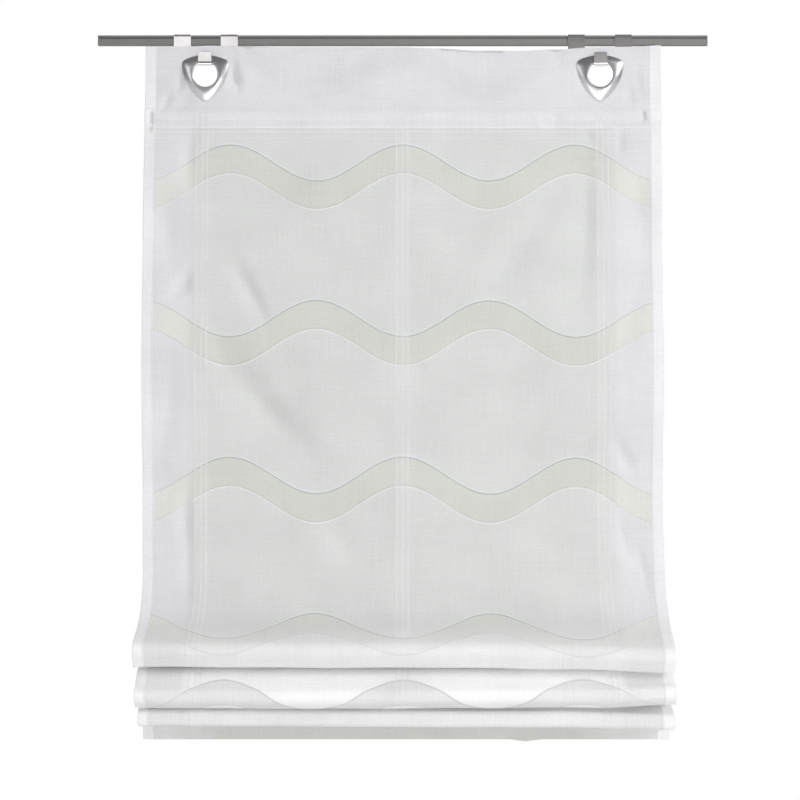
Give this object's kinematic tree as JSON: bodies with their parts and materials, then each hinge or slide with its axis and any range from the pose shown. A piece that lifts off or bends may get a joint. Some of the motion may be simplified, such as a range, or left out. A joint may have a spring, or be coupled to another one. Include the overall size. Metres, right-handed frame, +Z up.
{
  "type": "roman blind",
  "caption": "Sheer roman blind with wave bands, drawn up into soft folds, hung by eyelets on sheet-metal hooks from a flat rail.",
  "frame": {"origin": "middle of the rail's section, half way along the rail", "axes": "+X along the rail to the right, +Y towards the window, +Z up"},
  "size_m": [0.95, 0.1403, 1.0861],
  "materials": {
    "rail": "satin grey paint",
    "hook": "bright plated sheet",
    "eyelet": "satin chrome",
    "eyelet_back": "satin grey",
    "cloth": "fine off-white weave with thinner cream bands",
    "tape": "white woven tape",
    "bar": "mill finish"
  },
  "bodies": {
    "root": {"curtain_rail": "rail", "left_hook": "hook", "right_hook": "hook", "left_eyelet_front": "eyelet", "right_eyelet_front": "eyelet", "left_eyelet_back": "eyelet_back", "right_eyelet_back": "eyelet_back", "blind_cloth": "cloth", "hem_bar": "bar", "left_tape": "tape", "centre_tape": "tape", "right_tape": "tape", "left_tape_loops": "tape", "centre_tape_loops": "tape", "right_tape_loops": "tape"}
  },
  "joints": []
}
